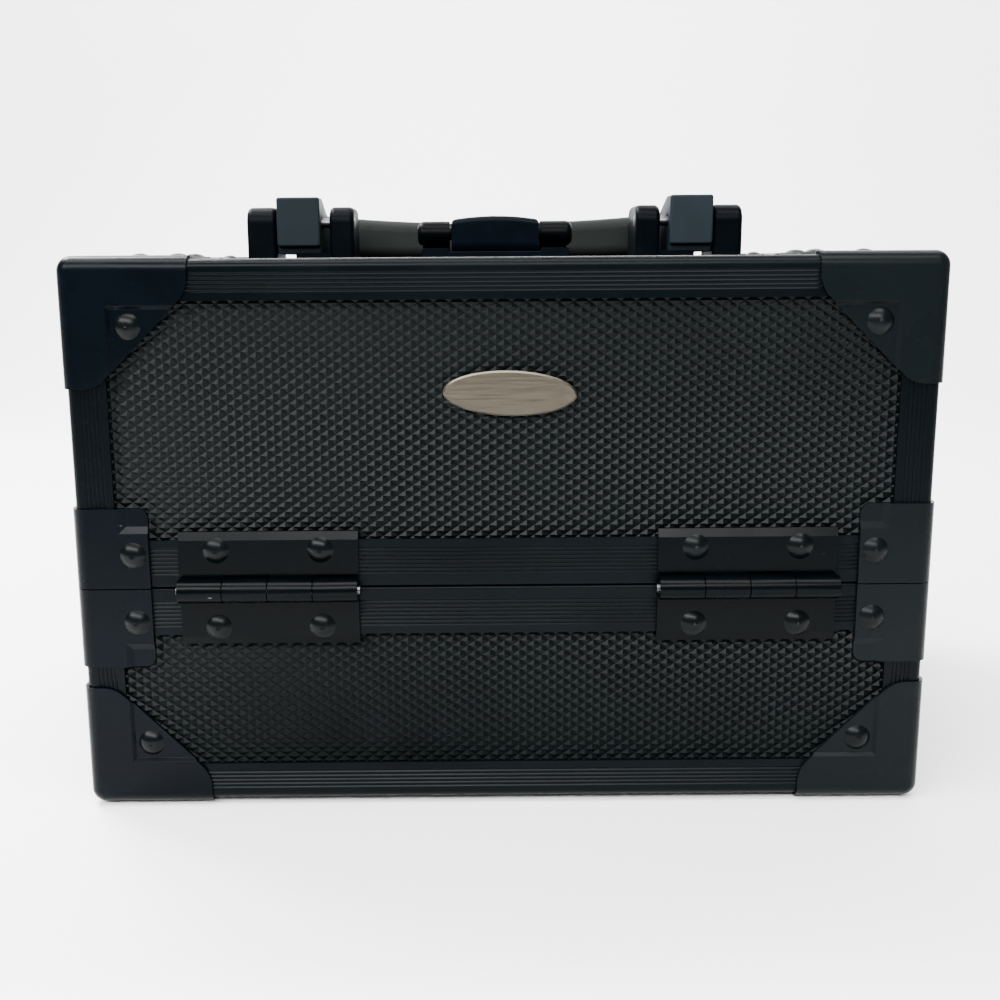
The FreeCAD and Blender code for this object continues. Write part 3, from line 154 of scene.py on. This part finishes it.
class Tree:
    """Small helper over a material's node tree."""

    def __init__(self, name):
        self.material = bpy.data.materials.new(name)
        self.material.use_nodes = True
        self.nodes = self.material.node_tree.nodes
        self.links = self.material.node_tree.links
        self.shader = self.nodes["Principled BSDF"]
        self.coordinates = self.nodes.new("ShaderNodeTexCoord").outputs["Object"]

    def add(self, kind, **values):
        node = self.nodes.new(kind)
        for name, value in values.items():
            if hasattr(node, name):
                setattr(node, name, value)
            else:
                node.inputs[name.replace("_", " ").title()].default_value = value
        return node

    def scaled(self, x, y, z):
        mapping = self.nodes.new("ShaderNodeMapping")
        mapping.inputs["Scale"].default_value = (x, y, z)
        self.links.new(self.coordinates, mapping.inputs["Vector"])
        return mapping.outputs["Vector"]

    def noise(self, scale, detail=3.0, rough=0.5, stretch=(1, 1, 1)):
        node = self.add("ShaderNodeTexNoise", scale=scale, detail=detail, roughness=rough)
        self.links.new(self.scaled(*stretch), node.inputs["Vector"])
        return node.outputs["Fac"]

    def along(self, axis):
        """A point's place along X, Y or Z."""
        split = self.nodes.new("ShaderNodeSeparateXYZ")
        self.links.new(self.coordinates, split.inputs[0])
        return split.outputs[axis]

    def ramp(self, factor, low, high, first, last):
        """first below low and last above high, smooth between them."""
        node = self.nodes.new("ShaderNodeMapRange")
        node.interpolation_type = "SMOOTHSTEP"
        values = {"From Min": low, "From Max": high, "To Min": first, "To Max": last}
        for name, value in values.items():
            node.inputs[name].default_value = value
        self.links.new(factor, node.inputs["Value"])
        return node.outputs["Result"]

    def mix(self, factor, first, second):
        """first, a colour or a colour socket, where factor is 0, and second, a colour, where it is 1."""
        node = self.nodes.new("ShaderNodeMix")
        node.data_type = "RGBA"
        self.links.new(factor, node.inputs["Factor"])
        if isinstance(first, tuple):
            node.inputs["A"].default_value = (*first, 1)
        else:
            self.links.new(first, node.inputs["A"])
        node.inputs["B"].default_value = (*second, 1)
        return node.outputs["Result"]

    def clouded(self, cloud, colour, gain, low=0.3, high=0.75):
        """colour, going to gain times itself where the cloud is thick."""
        return self.mix(self.ramp(cloud, low, high, 0.0, 1.0), colour, tuple(c * gain for c in colour))

    def bump(self, height, distance, strength):
        node = self.nodes.new("ShaderNodeBump")
        node.inputs["Distance"].default_value = distance
        node.inputs["Strength"].default_value = strength
        self.links.new(height, node.inputs["Height"])
        return node.outputs["Normal"]

    def put(self, name, value):
        socket = self.shader.inputs[name]
        if isinstance(value, bpy.types.NodeSocket):
            self.links.new(value, socket)
        elif isinstance(value, tuple):
            socket.default_value = (*value, 1)
        else:
            socket.default_value = value


WHITE_PAPER = (0.93, 0.93, 0.93)
# painted shade: the grey of the band on the floor in front of the case
PAINTED_SHADE_GREY = (0.38, 0.38, 0.38)
SCUFF_COLOUR = (0.30, 0.31, 0.32)


def paper():
    """Matt studio paper: white under and behind the case, a light grey band of painted shade in front, where
    the floor stands for an unlit stretch, then white again.
    """
    tree = Tree("sweep_paper")
    place = tree.along("Y")
    # painted shade: a grey band on the floor in front of the case
    near = tree.ramp(place, -0.65, -0.30, 1.0, 0.0)
    far = tree.ramp(place, -3.0, -1.6, 1.0, 0.0)
    tree.put("Base Color", tree.mix(far, tree.mix(near, WHITE_PAPER, PAINTED_SHADE_GREY), WHITE_PAPER))
    tree.put("Roughness", 0.9)
    tree.put("Specular IOR Level", 0.1)
    return tree.material


def painted(name, colour, roughness, specular, scuff=0.0, painted_light_right=None):
    """Enamel over pressed steel: slight orange peel, uneven gloss and sparse pale scuffs.

    The colour given for the right-hand side is painted light: a lighter, greyer tone blended in towards the
    right, where the light falls more brightly on the caps.
    """
    tree = Tree(name)
    cloud = tree.noise(28, 4, 0.6)
    fine = tree.noise(900, 3, 0.6)
    colour = tree.clouded(cloud, colour, 1.45)
    # painted light: the colour turns lighter and greyer towards the right-hand side
    if painted_light_right:
        colour = tree.mix(tree.ramp(tree.along("X"), -0.10, 0.13, 0.0, 1.0), colour, painted_light_right)
    if scuff:
        patch = tree.ramp(tree.noise(16, 2, 0.5), 0.60, 0.70, 0.0, 1.0)
        line = tree.ramp(tree.noise(160, 5, 0.75, (1, 1, 4)), 0.68, 0.74, 0.0, scuff)
        both = tree.add("ShaderNodeMath", operation="MULTIPLY")
        tree.links.new(patch, both.inputs[0])
        tree.links.new(line, both.inputs[1])
        colour = tree.mix(both.outputs[0], colour, SCUFF_COLOUR)
    tree.put("Base Color", colour)
    tree.put("Roughness", tree.ramp(cloud, 0.3, 0.8, roughness * 0.85, roughness * 1.3))
    tree.put("Specular IOR Level", specular)
    tree.put("Normal", tree.bump(fine, 0.02 * MM, 0.6))
    return tree.material


def anodised(name, colour, roughness, specular):
    """Black anodised extrusion: very fine lengthwise lines and uneven sheen."""
    tree = Tree(name)
    cloud = tree.noise(22, 4, 0.6)
    lines = tree.noise(1500, 2, 0.6, (0.25, 0.25, 1))
    tree.put("Base Color", tree.clouded(cloud, colour, 1.5))
    tree.put("Roughness", tree.ramp(cloud, 0.25, 0.8, roughness * 0.85, roughness * 1.25))
    tree.put("Specular IOR Level", specular)
    tree.put("Normal", tree.bump(lines, 0.02 * MM, 0.5))
    return tree.material


def moulded(name, colour, roughness, specular, scale=1400, depth=0.03 * MM):
    """Moulded plastic with a fine spark-eroded grain."""
    tree = Tree(name)
    cloud = tree.noise(24, 4, 0.55)
    tree.put("Base Color", tree.clouded(cloud, colour, 1.35))
    tree.put("Roughness", tree.ramp(cloud, 0.3, 0.8, roughness * 0.9, roughness * 1.2))
    tree.put("Specular IOR Level", specular)
    tree.put("Normal", tree.bump(tree.noise(scale, 3, 0.6), depth, 0.7))
    return tree.material


def brushed(name, colour, roughness, stretch):
    """Bare metal brushed one way."""
    tree = Tree(name)
    lines = tree.noise(60, 4, 0.7, stretch)
    cloud = tree.noise(60, 3, 0.5)
    tree.put("Base Color", tree.clouded(cloud, colour, 0.86, 0.35, 0.7))
    tree.put("Metallic", 1.0)
    tree.put("Roughness", tree.ramp(lines, 0.3, 0.7, roughness * 0.8, roughness * 1.3))
    tree.put("Normal", tree.bump(lines, 0.03 * MM, 0.35))
    return tree.material


def napped(name, colour):
    """Short black nap of a case lining."""
    tree = Tree(name)
    nap = tree.noise(2600, 4, 0.7)
    cloud = tree.noise(40, 3, 0.5)
    tree.put("Base Color", tree.clouded(cloud, colour, 1.5, high=0.7))
    tree.put("Roughness", 0.95)
    tree.put("Specular IOR Level", 0.15)
    tree.put("Sheen Weight", 0.35)
    tree.put("Sheen Roughness", 0.5)
    tree.put("Normal", tree.bump(nap, 0.1 * MM, 0.8))
    return tree.material


def make_materials():
    """One finish for each material slot of the record."""
    return {
        "dimpled_panel": moulded("panel_abs", (0.0012, 0.0019, 0.0021), 0.26, 0.045),
        "anodised_rail": anodised("rail_anodised", (0.0006, 0.0013, 0.0018), 0.26, 0.040),
        # the caps' lighter, greyer tone towards the right is painted light
        "pressed_cap": painted(
            "cap_enamel", (0.0003, 0.0010, 0.0019), 0.28, 0.047, scuff=0.9, painted_light_right=(0.0022, 0.0034, 0.0039)
        ),
        "rivet": painted("rivet_enamel", (0.0006, 0.0013, 0.0015), 0.27, 0.075),
        "lining": napped("case_lining", (0.010, 0.010, 0.011)),
        "hinge": painted("hinge_enamel", (0.0002, 0.0006, 0.0009), 0.24, 0.042, scuff=0.5),
        "steel_pin": brushed("pin_steel", (0.10, 0.102, 0.104), 0.30, (1, 40, 40)),
        "arm_metal": brushed("arm_metal", (0.05, 0.05, 0.054), 0.42, (40, 1, 1)),
        "badge": brushed("badge_nickel", (0.102, 0.090, 0.070), 0.34, (1, 30, 30)),
        "latch_metal": painted("latch_enamel", (0.0005, 0.0013, 0.0026), 0.38, 0.025),
        "latch_barrel": painted("barrel_enamel", (0.0003, 0.0006, 0.0009), 0.34, 0.025),
        "handle_bracket": painted("bracket_enamel", (0.0005, 0.0011, 0.0019), 0.40, 0.022),
        "handle_moulding": moulded("handle_plastic", (0.0078, 0.0114, 0.0140), 0.46, 0.045),
        "grip": moulded("grip_rubber", (0.0072, 0.0086, 0.0078), 0.55, 0.045, 700, 0.08 * MM),
        "tray": moulded("tray_plastic", (0.008, 0.0085, 0.009), 0.42, 0.3),
    }


# The bevel on sharp edges: the angle that counts as sharp, and its width by material slot.
SHARP_ANGLE = math.radians(38)
WELD_DISTANCE = 0.001 * MM
EDGE_BREAK = {
    "pressed_cap": 0.32 * MM,
    "anodised_rail": 0.2 * MM,
    "hinge": 0.22 * MM,
    "latch_metal": 0.35 * MM,
    "handle_bracket": 0.35 * MM,
    "handle_moulding": 1.1 * MM,
}


# ---------------------------------------------------------------- moulded panels

# The pyramids: width, height and how deep the valleys between them are.
PITCH = 5.3 * MM
ROW = 3.6 * MM
RELIEF = 0.9 * MM

# The directions right and up on a board, seen from outside, by the way it faces.
FACING = {
    "face": ((1, 0, 0), (0, 0, 1)),
    "rear": ((-1, 0, 0), (0, 0, 1)),
    "left": ((0, -1, 0), (0, 0, 1)),
    "right": ((0, 1, 0), (0, 0, 1)),
    "top": ((1, 0, 0), (0, 1, 0)),
    "bottom": ((-1, 0, 0), (0, 1, 0)),
}

# The nodes that are one board each, and the two that are a left and a right board.
SINGLE_PANELS = {
    "base_front_panel": "face",
    "base_rear_panel": "rear",
    "base_left_panel": "left",
    "base_right_panel": "right",
    "base_bottom_panel": "bottom",
    "front_lid_face_panel": "face",
    "rear_lid_face_panel": "rear",
    "front_lid_top_panel": "top",
    "rear_lid_top_panel": "top",
}
SIDE_PAIRS = ("front_lid_side_panels", "rear_lid_side_panels")


def pyramid_sheet(width, height):
    """A flat sheet of rhombic pyramids, as points (u, v, depth) and triangles. The tips are at depth 0.

    The outline is a straight rectangle: pyramids that would cross it are left out, and a strip fills the gap.
    """
    across = int(width // PITCH)
    down = int(height // ROW)
    left = (width - across * PITCH) / 2
    low = (height - down * ROW) / 2
    points, faces = [], []
    index = {}

    def corner(column, row):
        """A valley point of the diamond lattice. Columns are half pitches and rows are half rows."""
        key = (column, row)
        if key not in index:
            index[key] = len(points)
            points.append((left + column * PITCH / 2, low + row * ROW / 2, RELIEF))
        return index[key]

    def diamond(column, row):
        around = ((-1, 0), (0, -1), (1, 0), (0, 1))
        ring = [corner(column + x, row + y) for x, y in around]
        tip = len(points)
        points.append((left + column * PITCH / 2, low + row * ROW / 2, 0.0))
        faces.extend((ring[n], ring[(n + 1) % 4], tip) for n in range(4))

    for row in range(1, 2 * down):
        for column in range(1 + (row + 1) % 2, 2 * across, 2):
            diamond(column, row)
    for column in range(0, 2 * across, 2):
        for row in (0, 2 * down):
            inward = 1 if row == 0 else -1
            a, b = corner(column, row), corner(column + 2, row)
            c = corner(column + 1, row + inward)
            faces.append((a, b, c) if row == 0 else (b, a, c))
    for row in range(0, 2 * down, 2):
        for column in (0, 2 * across):
            inward = 1 if column == 0 else -1
            a, b = corner(column, row), corner(column, row + 2)
            c = corner(column + inward, row + 1)
            faces.append((b, a, c) if column == 0 else (a, b, c))
    return points, faces, index, (across, down)


def to_edge(place, length, reach):
    """Moves a place that is within reach of 0 or length onto it."""
    if min(place, length - place) < reach:
        return min((0.0, length), key=lambda edge: abs(edge - place))
    return place


def panel_mesh(name, width, height, thick):
    """A closed board: pyramids in front, plain sides and back. Its face is z=0 and it lies behind it."""
    points, faces, index, (across, down) = pyramid_sheet(width, height)
    rim = [index[(c, 0)] for c in range(0, 2 * across, 2)]
    rim += [index[(2 * across, r)] for r in range(0, 2 * down, 2)]
    rim += [index[(c, 2 * down)] for c in range(2 * across, 0, -2)]
    rim += [index[(0, r)] for r in range(2 * down, 0, -2)]
    base = len(points)
    ring = []
    for number in rim:
        u, v, _ = points[number]
        ring.append((to_edge(u, width, PITCH / 2), to_edge(v, height, ROW / 2)))
    count = len(rim)
    points += [(u, v, RELIEF) for u, v in ring]
    points += [(u, v, thick) for u, v in ring]
    middle = len(points)
    points.append((width / 2, height / 2, thick))
    for n in range(count):
        m = (n + 1) % count
        faces.append((rim[m], rim[n], base + n))
        faces.append((rim[m], base + n, base + m))
        faces.append((base + m, base + n, base + count + n))
        faces.append((base + m, base + count + n, base + count + m))
        faces.append((base + count + m, base + count + n, middle))
    mesh = bpy.data.meshes.new(name)
    mesh.from_pydata([(u, v, -depth) for u, v, depth in points], [], faces)
    mesh.validate()
    return mesh


def dimpled(node, right, up, side=None, bounds=None):
    """Makes a moulded board in the place of a flat CAD panel, or in the part of it between bounds."""
    low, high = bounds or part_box(node)
    right, up = Vector(right), Vector(up)
    out = right.cross(up)
    size = high - low
    width, height, thick = (abs(size.dot(axis)) for axis in (right, up, out))
    start = Vector(
        high[n] if (right + up)[n] < 0 or out[n] > 0 else low[n]
        for n in range(3)
    )
    name = node if side is None else f"{node}_{side}"
    mesh = panel_mesh(name + "_moulded", width, height, thick)
    piece = bpy.data.objects.new(name + "_moulded", mesh)
    bpy.context.scene.collection.objects.link(piece)
    place = Matrix((right, up, out)).transposed().to_4x4()
    place.translation = start
    mesh.transform(place)
    return piece


def moulded_panels(materials):
    """Replaces every panel node by one or two moulded boards that ride on its body."""
    bodies = frame["record"]["behaviour"]["bodies"]
    body_of = {node: body for body, members in bodies.items() for node in members}
    pieces = [(node, [dimpled(node, *FACING[way])]) for node, way in SINGLE_PANELS.items()]
    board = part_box("base_left_panel")
    thick = board[1].x - board[0].x
    for node in SIDE_PAIRS:
        low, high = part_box(node)
        left = (low, Vector((low.x + thick, high.y, high.z)))
        right = (Vector((high.x - thick, low.y, low.z)), high)
        pair = [
            dimpled(node, *FACING["left"], "left", left),
            dimpled(node, *FACING["right"], "right", right),
        ]
        pieces.append((node, pair))
    for node, made in pieces:
        for piece in made:
            piece.data.materials.append(materials["dimpled_panel"])
            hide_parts(node)
            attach(piece, body_of[node])


def paint_nodes(materials):
    """Gives every carried-over CAD node its finish, and breaks the sharp edges of those that show."""
    for name, node in nodes.items():
        node.data.materials.clear()
        node.data.materials.append(materials[slots[name]])
        if slots[name] in EDGE_BREAK:
            break_edges(node, EDGE_BREAK[slots[name]])


def break_edges(node, width):
    """A small modelled bevel that catches the light along an edge."""
    weld = node.modifiers.new("weld", "WELD")
    weld.merge_threshold = WELD_DISTANCE
    bevel = node.modifiers.new("edges", "BEVEL")
    bevel.limit_method = "ANGLE"
    bevel.angle_limit = SHARP_ANGLE
    bevel.width = width
    bevel.segments = 2
    even = node.modifiers.new("normals", "WEIGHTED_NORMAL")
    even.keep_sharp = True


make_camera()
MATERIALS = make_materials()
make_sweep()
make_world()
for light in LIGHTS:
    make_light(*light)
paint_nodes(MATERIALS)
moulded_panels(MATERIALS)
